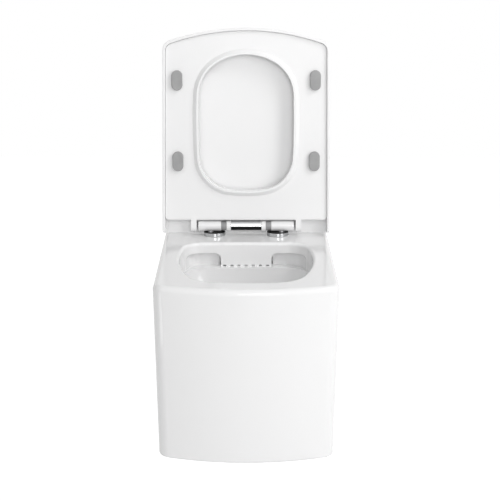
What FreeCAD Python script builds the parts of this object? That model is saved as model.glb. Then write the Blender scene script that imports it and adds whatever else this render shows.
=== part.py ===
import FreeCAD, Part
import math
import os
import re
import Sketcher
from FreeCAD import Placement, Rotation, Vector

# Driving sizes, in millimetres and degrees.
# X runs to the right, Y into the wall and Z up. The wall plane is Y = 0, and the studs are at Z = 0.
SIZES = {
    # Ceramic pan
    "pan_length": 490,
    "pan_width": 360,
    "pan_height": 350,
    "side_taper": 6.5,
    "front_bow": 30,
    "side_draft": 4,
    "front_draft": 15,
    "corner_radius": 28,
    "top_radius": 11,
    "foot_radius": 5,
    "shell_wall": 10,
    "deck_wall": 14,
    "rim_level": 80,
    "cut_margin": 5,
    # Bowl
    "bowl_setback": 138,
    "front_rim": 53,
    "side_rim": 44.7,
    "sump_clearance": 25,
    "bowl_wall": 10,
    "back_bow": 1500,
    "back_corner": 42,
    "lip_bow": 379,
    "lip_corner": 64,
    "side_bow": 404,
    "rim_radius": 6,
    "ledge_drop": 52,
    "ledge_step": 10,
    "ledge_side": 3.3,
    "ledge_front": 3,
    "sump_setback": 270,
    # Flush water
    "inlet_rise": 35,
    "inlet_radius": 27.5,
    "inlet_depth": 50,
    "feed_radius": 18,
    "box_width": 108,
    "box_proud": 2,
    "box_corner": 14,
    "chamber_depth": 28,
    "chamber_margin": 3,
    "recess_depth": 18,
    "recess_height": 30,
    "recess_round": 7.5,
    "recess_inset": 0.8,
    "recess_reach": 72,
    "jet_count": 7,
    "jet_pitch": 15.3,
    "jet_width": 6.5,
    "jet_height": 3,
    "jet_lift": 0.5,
    # Outlet
    "outlet_drop": 100,
    "outlet_radius": 51,
    "outlet_bore": 42,
    "outlet_inset": 5,
    "spigot_length": 65,
    "bore_step": 3,
    "trap_radius": 35,
    "trap_wall": 8,
    "trap_bend": 78,
    "access_depth": 120,
    "access_margin": 25,
    # Wall fixings
    "stud_spacing": 180,
    "stud_hole": 6.5,
    "sleeve_radius": 9,
    "sleeve_flange": 15,
    "plate_wall": 16,
    "plate_drop": 32,
    "flange_wall": 3,
    "washer_wall": 2.5,
    "washer_radius": 14,
    "nut_height": 10,
    "nut_width": 19,
    "nut_bore": 5.2,
    # Hinge
    "hinge_setback": 68,
    "hinge_height": 20.5,
    "raise_angle": 93,
    "post_spacing": 155,
    "base_spacing": 138,
    "base_radius": 24,
    "base_height": 8,
    "base_round": 1.2,
    "gasket_wall": 1,
    "gasket_inset": 1,
    "post_radius": 4,
    "post_reach": 6,
    "post_chamfer": 1,
    "post_wall": 2,
    "bolt_radius": 3,
    "bolt_length": 34,
    "post_flange": 7,
    "flange_height": 0.8,
    "plug_radius": 7.2,
    "plug_length": 30,
    "plug_taper": 4,
    "plug_bulge": 1.5,
    "bulge_gap": 0.5,
    "deck_hole": 7.5,
    "barrel_start": 54.5,
    "barrel_end": 104,
    "barrel_radius": 11.3,
    "barrel_chamfer": 0.6,
    "damper_radius": 9,
    "damper_wall": 3,
    "damper_inset": 0.5,
    "collar_start": 43,
    "collar_radius": 10.3,
    "drum_radius": 6.2,
    "shaft_radius": 4,
    "shaft_flat": 3,
    "shaft_grip": 3,
    "fit_gap": 0.1,
    "run_gap": 0.3,
    # Seat
    "seat_lift": 8.5,
    "seat_thickness": 17.5,
    "seat_under_round": 0.8,
    "seat_top_round": 6,
    "seat_tail_round": 10,
    "seat_tail_roll": 5,
    "seat_gap": 0.4,
    "seat_setback": 13.6,
    "hole_setback": 78.6,
    "ring_front": 48.2,
    "ring_side": 73.7,
    "bead_width": 11.5,
    "bead_height": 7.5,
    "bead_slope": 45,
    "lug_gap": 215.4,
    "seat_lug": 12.3,
    "lug_root": 6,
    "lug_floor": 2,
    "lug_radius": 11,
    "pad_width": 23,
    "pad_length": 42,
    "pad_round": 1.5,
    "pad_margin": 35.5,
    "pad_near": 143,
    "pad_front": 108,
    # Lid
    "lid_overhang": 1.5,
    "lid_corner": 22,
    "lid_wall": 5.5,
    "lid_round": 5,
    "lid_tail": 17.8,
    "lid_skirt": 2.5,
    "skirt_tail": 9,
    "lip_round": 1.2,
    "relief_tail": 11,
    "relief_margin": 1.5,
    "lid_clearance": 1,
    "lid_lug": 9,
    "lid_lug_start": 33.5,
    "stop_radius": 7,
    "stop_round": 1,
    "stop_margin": 28.5,
    "stop_near": 90,
    "stop_front": 72,
    # Release unit
    "release_half": 33,
    "core_radius": 9.5,
    "well_floor": 6.3,
    "well_margin": 8,
    "button_radius": 11.3,
    "button_travel": 3.5,
    "rod_radius": 1.5,
    "head_start": 8,
    "head_half": 4,
    "head_length": 6,
    "leg_start": 2.5,
    "leg_width": 6,
    "tip_gap": 0.5,
    "spring_radius": 2.8,
    "wire_radius": 0.4,
    "spring_turns": 6,
}

SIDES = {"left": -1, "right": 1}

# Where the bowl is widest, as a share of its length from the back
WIDEST_PLACE = 0.36

# Places that follow from the driving sizes
FRONT_WIDTH = "(pan_width - 2 * side_taper)"
FOOT_LEVEL = "(rim_level - pan_height)"
BOWL_WIDTH = "(pan_width - 2 * side_rim)"
BOWL_LENGTH = "(pan_length - bowl_setback - front_rim)"
BOWL_WIDEST = f"(-bowl_setback - {WIDEST_PLACE} * {BOWL_LENGTH})"
LEDGE = "(rim_level - ledge_drop)"
SUMP_LEVEL = "(rim_level - pan_height + sump_clearance)"
TRAP_LEVEL = f"({SUMP_LEVEL} + trap_radius)"
LID_WIDTH = "(pan_width + 2 * lid_overhang)"
LID_FRONT = f"({FRONT_WIDTH} + 2 * lid_overhang)"
LID_REACH = "(pan_length - hinge_setback)"
LID_FACE = "(barrel_radius + lid_clearance)"
LID_SKIRT_FOOT = "(lid_skirt - hinge_height)"
SEAT_FLOOR = "(seat_lift - hinge_height)"
SEAT_TOP = f"({SEAT_FLOOR} + seat_thickness)"
SEAT_INSET = "(lid_wall + seat_gap)"
HOLE_WIDTH = f"({LID_WIDTH} - 2 * {SEAT_INSET} - 2 * ring_side)"
HOLE_FRONT = f"({LID_REACH} - {SEAT_INSET} - ring_front)"
LID_BORE_END = "(post_spacing / 2 - post_radius - post_wall)"
SEAT_BORE_START = "(post_spacing / 2 + post_radius + post_wall)"
RAMP = "(head_start + head_length)"

# Bowl sections below the ledge: shares of the depth, width and length, of the way from the mouth's
# middle to the sump's, and of roundness
BOWL_SECTIONS = (
    (0, 1, 1, 0, 0),
    (0.3, 0.8, 0.8, 0.4, 0.5),
    (0.62, 0.53, 0.54, 0.8, 0.9),
    (0.88, 0.37, 0.4, 1, 1),
    (1, 0.27, 0.3, 1, 1),
)
# Radii of a section's back bow, back corner, front bow, front corner and sides, as shares of its
# half width
SQUARE_SECTION = (11, 0.31, 2.8, 0.47, 3)
ROUND_SECTION = (1.2, 0.85, 1.2, 0.85, 6)
# The same radii of the seat's hole, as shares of its width
HOLE_ROUNDING = (1.45, 0.36, 0.58, 0.41, 8)

ANYWHERE = 1e4
NEAR = 0.01
STEEP = 0.6

document = FreeCAD.newDocument("wall_hung_toilet")
sheet = document.addObject("Spreadsheet::Sheet", "sizes")
for row, (name, value) in enumerate(SIZES.items(), start=1):
    sheet.set(f"A{row}", name)
    sheet.set(f"B{row}", str(value))
    sheet.setAlias(f"B{row}", name)
document.recompute()

pieces = []


# Expressions and sketches

def number(expression):
    """Present value of an expression in the sheet's names."""
    return float(sheet.evalExpression(str(expression)))


def bound(expression):
    """The same expression as other objects write it: names with an underscore are cells of the sheet."""
    return re.sub(r"\b[a-z]+(?:_[a-z]+)+\b", lambda match: "sizes." + match.group(), str(expression))


def bind(thing, **properties):
    """Ties properties to expressions; two underscores in a name stand for a dot."""
    for name, expression in properties.items():
        thing.setExpression(name.replace("__", "."), bound(expression))


def new_body(label):
    body = document.addObject("PartDesign::Body", label)
    body.Label = label
    return body


def sketch_on(body, role, lift=0):
    """A sketch parallel to an origin plane of the body. The normal of XZ points to the front."""
    sketch = body.newObject("Sketcher::SketchObject", "sketch")
    plane = next(feature for feature in body.Origin.OriginFeatures if feature.Role == role)
    sketch.AttachmentSupport = [(plane, "")]
    sketch.MapMode = "FlatFace"
    bind(sketch, AttachmentOffset__Base__z=lift)
    return sketch


def datum(sketch, kind, place, expression):
    """A dimension that follows an expression; a place on an axis needs no length."""
    if str(expression) == "0":
        axis = -2 if kind == "DistanceX" else -1
        sketch.addConstraint(Sketcher.Constraint("PointOnObject", *place, axis))
        return
    fixed = (-1, 1) if kind in ("DistanceX", "DistanceY") else ()
    index = sketch.addConstraint(Sketcher.Constraint(kind, *fixed, *place, number(expression)))
    sketch.setExpression(f"Constraints[{index}]", bound(expression))


def pin_point(sketch, edge, end, point):
    datum(sketch, "DistanceX", (edge, end), point[0])
    datum(sketch, "DistanceY", (edge, end), point[1])


def vector(point):
    return Vector(number(point[0]), number(point[1]), 0)


def polygon(sketch, points):
    """A closed outline of straight edges, every corner given by two expressions."""
    first = sketch.GeometryCount
    count = len(points)
    for index in range(count):
        sketch.addGeometry(Part.LineSegment(vector(points[index]), vector(points[(index + 1) % count])))
    for index in range(count):
        after = first + (index + 1) % count
        sketch.addConstraint(Sketcher.Constraint("Coincident", first + index, 2, after, 1))
        pin_point(sketch, first + index, 1, points[index])


def rectangle(sketch, left, right, low, high):
    polygon(sketch, [(left, low), (right, low), (right, high), (left, high)])


def circle(sketch, radius, centre=(0, 0)):
    index = sketch.addGeometry(Part.Circle(vector(centre), Vector(0, 0, 1), number(radius)))
    pin_point(sketch, index, 3, centre)
    datum(sketch, "Radius", (index,), radius)


def arc_between(centre, radius, start, end):
    """The arc that runs counter-clockwise from one point to another."""
    begin = math.atan2(start.y - centre.y, start.x - centre.x)
    finish = math.atan2(end.y - centre.y, end.x - centre.x)
    if finish <= begin:
        finish += 2 * math.pi
    return Part.ArcOfCircle(Part.Circle(centre, Vector(0, 0, 1), radius), begin, finish)


def tray(sketch, half_back, half_front, back, corner, bow):
    """A straight back, two sides that may draw in, and a bowed front that meets them at corner."""
    corners = [(f"-({half_front})", corner), (half_front, corner),
               (half_back, back), (f"-({half_back})", back)]
    radius = f"(({half_front})^2 + ({bow})^2) / (2 * ({bow}))"
    points = [vector(point) for point in corners]
    centre = Vector(0, number(corner) - number(bow) + number(radius), 0)
    sketch.addGeometry(arc_between(centre, number(radius), points[0], points[1]))
    for start, end in ((1, 2), (2, 3), (3, 0)):
        sketch.addGeometry(Part.LineSegment(points[start], points[end]))
    for edge in range(4):
        sketch.addConstraint(Sketcher.Constraint("Coincident", edge, 2, (edge + 1) % 4, 1))
        if edge:
            pin_point(sketch, edge, 1, corners[edge])
    sketch.addConstraint(Sketcher.Constraint("PointOnObject", 0, 3, -2))
    sketch.addConstraint(Sketcher.Constraint("Symmetric", 0, 1, 0, 2, -2))
    datum(sketch, "Radius", (0,), radius)


def crossings(first, first_radius, second, second_radius):
    """The two points where two circles meet."""
    between = second - first
    apart = between.Length
    along = (apart ** 2 + first_radius ** 2 - second_radius ** 2) / (2 * apart)
    aside = math.sqrt(first_radius ** 2 - along ** 2)
    across = Vector(-between.y, between.x, 0) * (aside / apart)
    middle = first + between * (along / apart)
    return middle + across, middle - across


def basin(sketch, half_width, widest, back, front, back_bow, back_corner, front_bow, front_corner, side_bow):
    """Bowed ends and sides, joined by four tangent corner arcs."""
    side_radius = number(side_bow)
    side_middle = Vector(number(half_width) - side_radius, number(widest), 0)
    ends = []
    for level, bow, corner, inward in ((back, back_bow, back_corner, -1),
                                       (front, front_bow, front_corner, 1)):
        bow_radius, turn_radius = number(bow), number(corner)
        bow_middle = Vector(0, number(level) + inward * bow_radius, 0)
        meeting = crossings(side_middle, side_radius - turn_radius, bow_middle, bow_radius - turn_radius)
        turn_middle = min(meeting, key=lambda point: inward * point.y)
        on_bow = bow_middle + (turn_middle - bow_middle) * (bow_radius / (bow_radius - turn_radius))
        on_side = side_middle + (turn_middle - side_middle) * (side_radius / (side_radius - turn_radius))
        ends.append((bow_middle, bow_radius, turn_middle, turn_radius, on_bow, on_side))

    def mirrored(point):
        return Vector(-point.x, point.y, 0)

    (back_middle, back_radius, back_turn, back_round, back_touch, side_back) = ends[0]
    (front_middle, front_radius, front_turn, front_round, front_touch, side_front) = ends[1]
    for middle, radius, begin, finish in (
            (back_middle, back_radius, back_touch, mirrored(back_touch)),
            (mirrored(back_turn), back_round, mirrored(back_touch), mirrored(side_back)),
            (mirrored(side_middle), side_radius, mirrored(side_back), mirrored(side_front)),
            (mirrored(front_turn), front_round, mirrored(side_front), mirrored(front_touch)),
            (front_middle, front_radius, mirrored(front_touch), front_touch),
            (front_turn, front_round, front_touch, side_front),
            (side_middle, side_radius, side_front, side_back),
            (back_turn, back_round, side_back, back_touch)):
        sketch.addGeometry(arc_between(middle, radius, begin, finish))
    for edge in range(8):
        sketch.addConstraint(Sketcher.Constraint("Tangent", edge, 2, (edge + 1) % 8, 1))
    for edge, twin, radius in ((7, 1, back_corner), (5, 3, front_corner)):
        datum(sketch, "Radius", (edge,), radius)
        sketch.addConstraint(Sketcher.Constraint("Equal", edge, twin))
    side_place = f"({half_width}) - ({side_bow})"
    for edge, radius, place in ((0, back_bow, (0, f"{back} - ({back_bow})")),
                                (4, front_bow, (0, f"{front} + ({front_bow})")),
                                (6, side_bow, (side_place, widest)),
                                (2, side_bow, (f"-({side_place})", widest))):
        datum(sketch, "Radius", (edge,), radius)
        pin_point(sketch, edge, 3, place)


def stadium(sketch, half_width, half_length, centre):
    """A slot outline, longer along Y."""
    x, y = number(centre[0]), number(centre[1])
    radius = number(half_width)
    run = number(half_length) - radius
    near, far = Vector(x, y + run, 0), Vector(x, y - run, 0)
    aside = Vector(radius, 0, 0)
    sketch.addGeometry(arc_between(near, radius, near + aside, near - aside))
    sketch.addGeometry(Part.LineSegment(near - aside, far - aside))
    sketch.addGeometry(arc_between(far, radius, far - aside, far + aside))
    sketch.addGeometry(Part.LineSegment(far + aside, near + aside))
    for edge in range(4):
        sketch.addConstraint(Sketcher.Constraint("Tangent", edge, 2, (edge + 1) % 4, 1))
    datum(sketch, "Radius", (0,), half_width)
    pin_point(sketch, 0, 3, (centre[0], f"{centre[1]} + ({half_length}) - ({half_width})"))
    pin_point(sketch, 2, 3, (centre[0], f"{centre[1]} - ({half_length}) + ({half_width})"))


def double_flat(sketch, grow=0):
    """The damper shaft's section: a circle with two flats across Y; grow widens it for a socket."""
    radius, flat = f"shaft_radius + {grow}", f"shaft_flat + {grow}"
    reach = math.sqrt(number(radius) ** 2 - number(flat) ** 2)
    corners = [Vector(number(flat) * a, reach * b, 0) for a, b in ((1, -1), (1, 1), (-1, 1), (-1, -1))]
    sketch.addGeometry(Part.LineSegment(corners[0], corners[1]))
    sketch.addGeometry(arc_between(Vector(), number(radius), corners[1], corners[2]))
    sketch.addGeometry(Part.LineSegment(corners[2], corners[3]))
    sketch.addGeometry(arc_between(Vector(), number(radius), corners[3], corners[0]))
    for edge in range(4):
        sketch.addConstraint(Sketcher.Constraint("Coincident", edge, 2, (edge + 1) % 4, 1))
    for arc in (1, 3):
        pin_point(sketch, arc, 3, (0, 0))
        datum(sketch, "Radius", (arc,), radius)
    for line, sign in ((0, ""), (2, "-")):
        sketch.addConstraint(Sketcher.Constraint("Vertical", line))
        datum(sketch, "DistanceX", (line, 1), f"{sign}({flat})")


# Features

def pad(body, sketch, length, kind="PartDesign::Pad", back=False):
    feature = body.newObject(kind, "pad")
    feature.Profile = sketch
    feature.Reversed = back
    bind(feature, Length=length)
    return feature


def pocket(body, sketch, length, back=False):
    """Cuts along the sketch's normal, or against it when back is set."""
    return pad(body, sketch, length, "PartDesign::Pocket", not back)


def turn(body, points, axis="H_Axis", role="XZ_Plane"):
    """A piece turned about an axis of its sketch."""
    sketch = sketch_on(body, role)
    polygon(sketch, points)
    feature = body.newObject("PartDesign::Revolution", "turn")
    feature.Profile = sketch
    feature.ReferenceAxis = (sketch, [axis])
    feature.Angle = 360
    return feature


def round_edges(body, radius, chosen):
    """Rounds those edges of the body's present shape that the test picks."""
    document.recompute()
    base = body.Tip
    names = [f"Edge{index}" for index, edge in enumerate(base.Shape.Edges, start=1) if chosen(edge)]
    feature = body.newObject("PartDesign::Fillet", "round")
    feature.Base = (base, names)
    bind(feature, Radius=radius)
    return feature


def level_edge(level, near=NEAR):
    """Test for an edge that lies at one height."""
    def chosen(edge):
        box = edge.BoundBox
        return abs(box.ZMin - level) < near and abs(box.ZMax - level) < near
    return chosen


def upright_edge(y_low, y_high, least=3):
    """Test for an edge that climbs, with its middle between two depths."""
    def chosen(edge):
        box = edge.BoundBox
        steep = box.ZLength > least and box.XLength < STEEP * box.ZLength
        return steep and y_low < edge.CenterOfMass.y < y_high
    return chosen


def block(label, left, right, front, back, low, high):
    box = document.addObject("Part::Box", label)
    bind(box, Length=f"({right}) - ({left})", Width=f"({back}) - ({front})", Height=f"({high}) - ({low})")
    bind(box, Placement__Base__x=left, Placement__Base__y=front, Placement__Base__z=low)
    return box


def bar(label, radius, start, length, x, z):
    """A round bar that runs from a depth behind the wall plane towards the front."""
    rod = document.addObject("Part::Cylinder", label)
    rod.Placement = Placement(Vector(), Rotation(Vector(1, 0, 0), 90))
    bind(rod, Radius=radius, Height=length)
    bind(rod, Placement__Base__x=x, Placement__Base__y=start, Placement__Base__z=z)
    return rod


def drop_hole(label, radius, x, y, top, depth):
    hole = document.addObject("Part::Cylinder", label)
    bind(hole, Radius=radius, Height=depth)
    bind(hole, Placement__Base__x=x, Placement__Base__y=y, Placement__Base__z=f"({top}) - ({depth})")
    return hole


def joined(label, members):
    union = document.addObject("Part::MultiFuse", label)
    union.Shapes = members
    union.Refine = True
    return union


def less(label, base, tool):
    cut = document.addObject("Part::Cut", label)
    cut.Base = base
    cut.Tool = tool
    cut.Refine = True
    return cut


def keep(piece):
    pieces.append(piece)
    return piece


def on_hinge(body, raised=True):
    """Places a piece drawn about the hinge axis: raised ones turn up with the lid."""
    if raised:
        body.Placement = Placement(Vector(), Rotation(Vector(-1, 0, 0), number("raise_angle")))
        bind(body, Placement__Rotation__Angle="raise_angle")
    bind(body, Placement__Base__y="-hinge_setback", Placement__Base__z="rim_level + hinge_height")
    return keep(body)


# Ceramic pan

def pan_form(label, inset, back, top, bottom, corner):
    """The pan's outer form, drawn in by an inset: its top outline lofted to its smaller foot."""
    body = new_body(label)
    outlines = []
    for level in (top, bottom):
        share = f"(rim_level - ({level})) / pan_height"
        sketch = sketch_on(body, "XY_Plane", level)
        drawn = f"side_draft * {share} + {inset}"
        tray(sketch, f"pan_width / 2 - ({drawn})", f"{FRONT_WIDTH} / 2 - ({drawn})", back,
             f"-pan_length + front_bow + front_draft * {share} + {inset}", "front_bow")
        outlines.append(sketch)
    loft = body.newObject("PartDesign::AdditiveLoft", "loft")
    loft.Profile = outlines[0]
    loft.Sections = [outlines[1]]
    loft.Ruled = True
    round_edges(body, corner, upright_edge(-ANYWHERE, number("-pan_length / 2")))
    return body


def mouth_radii(grow):
    """Radii of the bowl's mouth, in the order that a basin takes them."""
    radii = ("back_bow", "back_corner", "lip_bow", "lip_corner", "side_bow")
    return [f"{radius} + {grow}" for radius in radii]


def bowl_form(label, grow, top):
    """The bowl's space, or its outside when grown by the wall: a straight upper part over a deep basin."""
    body = new_body(label)
    foot = f"{LEDGE} - {grow}"
    upper = sketch_on(body, "XY_Plane", foot)
    basin(upper, f"{BOWL_WIDTH} / 2 + {grow}", BOWL_WIDEST, f"-bowl_setback + {grow}",
          f"-pan_length + front_rim - {grow}", *mouth_radii(grow))
    pad(body, upper, f"({top}) - ({foot})")
    half_width = f"({BOWL_WIDTH} / 2 - ledge_side)"
    half_length = f"(({BOWL_LENGTH} - ledge_step - ledge_front) / 2)"
    middle = f"(-bowl_setback - ledge_step - {half_length})"
    sections = []
    for depth, width, length, shift, roundness in BOWL_SECTIONS:
        sketch = sketch_on(body, "XY_Plane", f"{LEDGE} - {depth} * ({LEDGE} - {SUMP_LEVEL} + {grow})")
        half = f"({half_width} * {width})"
        reach = f"({half_length} * {length} + {grow})"
        centre = f"({middle} + {shift} * (-sump_setback - {middle}))"
        radii = [f"{half} * {square * (1 - roundness) + full * roundness:.4f} + {grow}"
                 for square, full in zip(SQUARE_SECTION, ROUND_SECTION)]
        widest = f"{centre} + {(1 - 2 * WIDEST_PLACE) * (1 - roundness):.4f} * {reach}"
        basin(sketch, f"{half} + {grow}", widest, f"{centre} + {reach}", f"{centre} - {reach}", *radii)
        sections.append(sketch)
    loft = body.newObject("PartDesign::AdditiveLoft", "loft")
    loft.Profile = sections[0]
    loft.Sections = sections[1:]
    return body


def trap_form(label, radius):
    """The waterway from the sump up to the outlet, as a swept round bar."""
    body = new_body(label)
    path = sketch_on(body, "YZ_Plane")
    low, high = number(TRAP_LEVEL), number("-outlet_drop")
    bend = number("trap_bend")
    swing = math.acos(1 - (high - low) / (2 * bend))
    start = Vector(number("-sump_setback"), low, 0)
    upper_end = Vector(number("-outlet_inset - spigot_length"), high, 0)
    lower_end = Vector(upper_end.x - 2 * bend * math.sin(swing), low, 0)
    between = (lower_end + upper_end) / 2
    lower_middle, upper_middle = lower_end + Vector(0, bend, 0), upper_end - Vector(0, bend, 0)
    path.addGeometry(Part.LineSegment(start, lower_end))
    path.addGeometry(arc_between(lower_middle, bend, lower_end, between))
    path.addGeometry(arc_between(upper_middle, bend, upper_end, between))
    path.addGeometry(Part.LineSegment(upper_end, Vector(number("-outlet_inset"), high, 0)))
    for first, end, second, begin in ((0, 2, 1, 1), (1, 2, 2, 2), (2, 1, 3, 1)):
        path.addConstraint(Sketcher.Constraint("Tangent", first, end, second, begin))
    path.addConstraint(Sketcher.Constraint("Horizontal", 0))
    path.addConstraint(Sketcher.Constraint("Horizontal", 3))
    path.addConstraint(Sketcher.Constraint("Equal", 1, 2))
    datum(path, "Radius", (1,), "trap_bend")
    pin_point(path, 0, 1, ("-sump_setback", TRAP_LEVEL))
    pin_point(path, 3, 2, ("-outlet_inset", "-outlet_drop"))
    datum(path, "DistanceX", (3, 1), "-outlet_inset - spigot_length")
    section = sketch_on(body, "XZ_Plane", "sump_setback")
    circle(section, radius, (0, TRAP_LEVEL))
    pipe = body.newObject("PartDesign::AdditivePipe", "pipe")
    pipe.Profile = section
    pipe.Spine = (path, ["Edge1", "Edge2", "Edge3", "Edge4"])
    return body


def recess_form(label, grow, foot, top):
    """Plan of the recess behind the bowl's upper wall, or its outside when grown by the wall."""
    body = new_body(label)
    sketch = sketch_on(body, "XY_Plane", foot)
    basin(sketch, f"{BOWL_WIDTH} / 2 - recess_inset + {grow}", BOWL_WIDEST,
          f"-bowl_setback + recess_depth + {grow}",
          f"-bowl_setback - recess_reach - {BOWL_WIDTH} / 2 - {grow}", *mouth_radii(grow))
    pad(body, sketch, f"({top}) - ({foot})")
    return body


def flush_recess(label):
    """The channel that carries water from both sides of the flush box to the ledge."""
    top = f"{LEDGE} + recess_height"
    body = recess_form(label, "0", LEDGE, top)
    flush_box = sketch_on(body, "XY_Plane", LEDGE)
    rectangle(flush_box, "-box_width / 2", "box_width / 2", "-bowl_setback - 2 * recess_depth", "0")
    pocket(body, flush_box, "recess_height")
    at_top, box_half = level_edge(number(top)), number("box_width / 2")
    round_edges(body, "box_corner", lambda edge: at_top(edge) and edge.BoundBox.XLength < NEAR
                and abs(abs(edge.CenterOfMass.x) - box_half) < NEAR)
    round_edges(body, "recess_round", level_edge(number(top)))
    return body


def outer_edge(level):
    """Test for an edge at one height that doesn't lie on the wall plane."""
    at_level = level_edge(level)
    return lambda edge: at_level(edge) and edge.BoundBox.YMin < -1


def rim_edges(shape):
    """Numbers of the edges where the bowl's wall meets the flat top."""
    at_rim = level_edge(number("rim_level"))
    front, back = number("-pan_length + front_rim - 1"), number("-bowl_setback + 1")
    half = number(f"{BOWL_WIDTH} / 2 + 1")
    found = []
    for index, edge in enumerate(shape.Edges, start=1):
        box = edge.BoundBox
        if at_rim(edge) and front < box.YMin and box.YMax < back and max(-box.XMin, box.XMax) < half:
            found.append(index)
    return found


def ceramic_pan():
    outer = pan_form("pan_outer", "0", "0", "rim_level", FOOT_LEVEL, "corner_radius")
    round_edges(outer, "top_radius", outer_edge(number("rim_level")))
    round_edges(outer, "foot_radius", outer_edge(number(FOOT_LEVEL)))
    hollow = pan_form("pan_hollow", "shell_wall", "cut_margin", "rim_level - deck_wall",
                      f"{FOOT_LEVEL} + shell_wall", "corner_radius - shell_wall")
    shell = less("pan_shell", outer, hollow)

    under_deck = "rim_level - deck_wall / 2"
    plate_half = "pan_width / 2 - shell_wall / 2"
    chamber_half = "(box_width / 2 + chamber_margin)"
    chamber_front = "(-bowl_setback + bowl_wall)"
    chamber_back = f"({chamber_front} + chamber_depth)"
    chamber_low = f"({LEDGE} + jet_lift)"
    box_half = f"({chamber_half} + shell_wall)"
    ceramic = joined("pan_ceramic", [
        shell,
        bowl_form("bowl_outside", "bowl_wall", under_deck),
        recess_form("recess_outside", "bowl_wall", f"{LEDGE} - bowl_wall", under_deck),
        trap_form("trap_outside", "trap_radius + trap_wall"),
        bar("outlet_spigot", "outlet_radius", "-outlet_inset", "spigot_length", "0", "-outlet_drop"),
        bar("inlet_socket", "inlet_radius + shell_wall", "0", "inlet_depth + shell_wall", "0", "inlet_rise"),
        bar("feed_pipe", "feed_radius + shell_wall", "0", "bowl_setback - recess_depth", "0", "inlet_rise"),
        block("back_plate", f"-({plate_half})", plate_half, "-plate_wall", "0", "-plate_drop", under_deck),
        block("flush_box", f"-{box_half}", box_half, "-bowl_setback - box_proud",
              f"{chamber_back} + shell_wall", f"{LEDGE} - shell_wall", under_deck),
    ])

    cuts = [
        bowl_form("bowl_space", "0", "rim_level + cut_margin"),
        trap_form("trap_bore", "trap_radius"),
        bar("outlet_bore", "outlet_bore", "0", "spigot_length - bore_step", "0", "-outlet_drop"),
        bar("inlet_bore", "inlet_radius", "cut_margin", "inlet_depth + cut_margin", "0", "inlet_rise"),
        bar("feed_bore", "feed_radius", "0", "bowl_setback - recess_depth", "0", "inlet_rise"),
        block("flush_chamber", f"-{chamber_half}", chamber_half, chamber_front, chamber_back,
              chamber_low, f"{LEDGE} + recess_height"),
        flush_recess("recess_space"),
        block("access_opening", "-stud_spacing / 2 - access_margin", "stud_spacing / 2 + access_margin",
              "-access_depth", "cut_margin", f"{FOOT_LEVEL} - cut_margin",
              f"{FOOT_LEVEL} + shell_wall + cut_margin"),
    ]
    jets = int(number("jet_count"))
    for jet in range(jets):
        middle = f"{jet - (jets - 1) / 2} * jet_pitch"
        cuts.append(block(f"jet_{jet + 1}", f"{middle} - jet_width / 2", f"{middle} + jet_width / 2",
                          "-bowl_setback - cut_margin", f"{chamber_front} + 1", chamber_low,
                          f"{chamber_low} + jet_height"))
    for name, side in SIDES.items():
        cuts.append(bar(f"stud_hole_{name}", "sleeve_radius + run_gap", "cut_margin",
                        "plate_wall + 2 * cut_margin", f"{side} * stud_spacing / 2", "0"))
        cuts.append(drop_hole(f"hinge_hole_{name}", "deck_hole", f"{side} * post_spacing / 2",
                              "-hinge_setback", "rim_level + cut_margin", "deck_wall + 3 * cut_margin"))
    opened = less("pan_opened", ceramic, joined("pan_spaces", cuts))
    document.recompute()
    pan = document.addObject("Part::Fillet", "ceramic_pan")
    pan.Base = opened
    pan.Edges = [(index, number("rim_radius"), number("rim_radius")) for index in rim_edges(opened.Shape)]
    keep(pan)


# Wall fixings

def wall_fixing(name, side):
    """Plastic sleeve in the back plate, with its washer and nut on the inner side."""
    inner_face = "plate_wall"
    x = f"{side} * stud_spacing / 2"
    sleeve = new_body(f"fixing_sleeve_{name}")
    turn(sleeve, [("stud_hole", "0"), ("sleeve_radius", "0"), ("sleeve_radius", inner_face),
                  ("sleeve_flange", inner_face), ("sleeve_flange", f"{inner_face} + flange_wall"),
                  ("stud_hole", f"{inner_face} + flange_wall")], "V_Axis", "XY_Plane")
    washer = new_body(f"fixing_washer_{name}")
    washer_start = f"{inner_face} + flange_wall"
    ring = sketch_on(washer, "XZ_Plane", washer_start)
    circle(ring, "washer_radius")
    circle(ring, "stud_hole")
    pad(washer, ring, "washer_wall")
    nut = new_body(f"fixing_nut_{name}")
    hexagon = sketch_on(nut, "XZ_Plane", f"{washer_start} + washer_wall")
    reach = "nut_width / 2 / cos(30)"
    polygon(hexagon, [(f"{reach} * cos({60 * k})" if k % 3 else f"{reach} * {1 - 2 * (k // 3)}",
                       f"{reach} * sin({60 * k})" if k % 3 else "0") for k in range(6)])
    circle(hexagon, "nut_bore")
    pad(nut, hexagon, "nut_height")
    sleeve.Placement = Placement(Vector(), Rotation(Vector(0, 0, 1), 180))
    for body in (sleeve, washer, nut):
        bind(body, Placement__Base__x=x)
        keep(body)


# Hinge pieces that stay with the pan

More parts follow.
